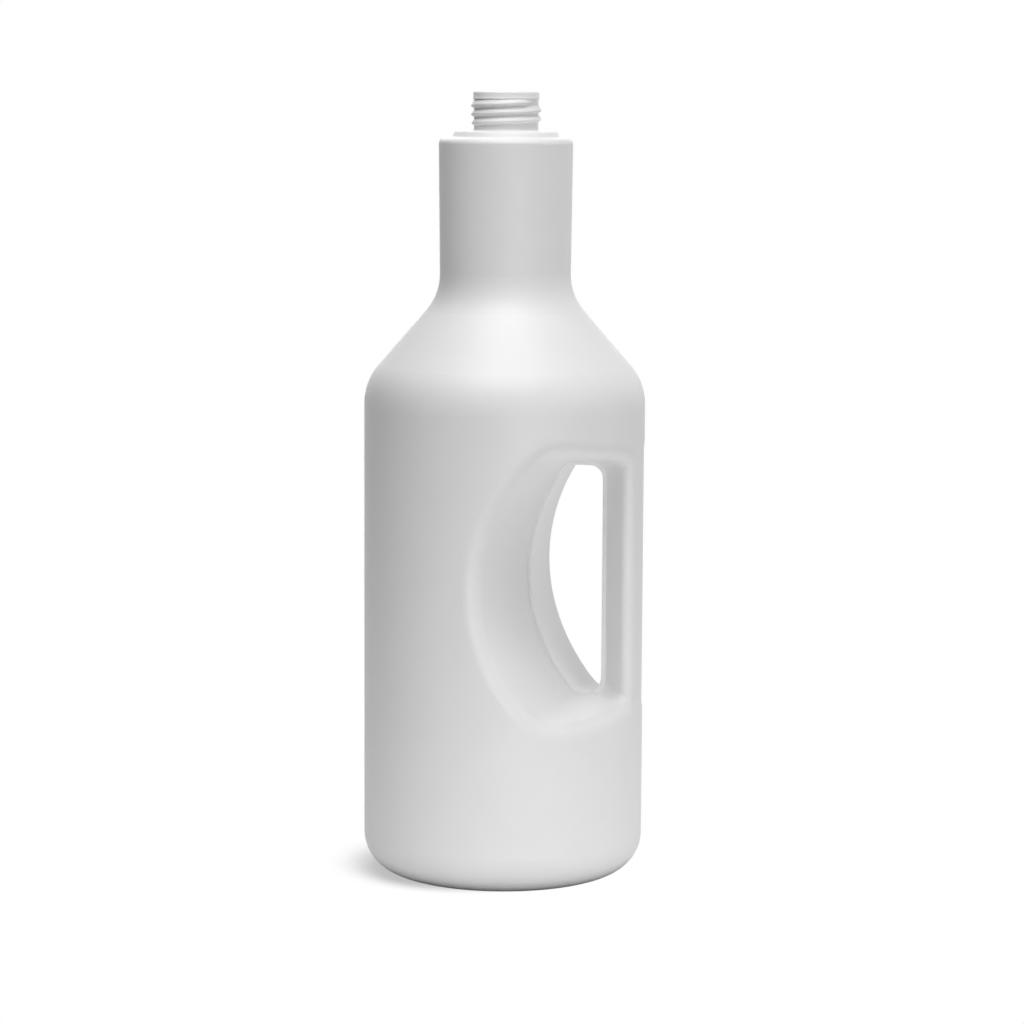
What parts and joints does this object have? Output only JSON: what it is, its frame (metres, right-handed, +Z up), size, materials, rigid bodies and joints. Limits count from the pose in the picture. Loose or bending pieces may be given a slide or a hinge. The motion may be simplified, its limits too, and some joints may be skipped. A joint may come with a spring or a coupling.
{
  "type": "plastic handle bottle",
  "caption": "Blown white plastic bottle with a straight round body, sloping shoulder, wide neck, screw finish and a D-shaped handle eye through its side.",
  "frame": {"origin": "centre of the standing ring, on the plane that the bottle stands on", "axes": "+Z up the bottle's axis, +X towards the handle's grip, the mould's parting plane is XZ"},
  "size_m": [0.111, 0.111, 0.3094],
  "materials": {
    "white_polyethylene": "satin, as blown from a blasted mould"
  },
  "bodies": {
    "root": {"bottle": "white_polyethylene"}
  },
  "joints": []
}
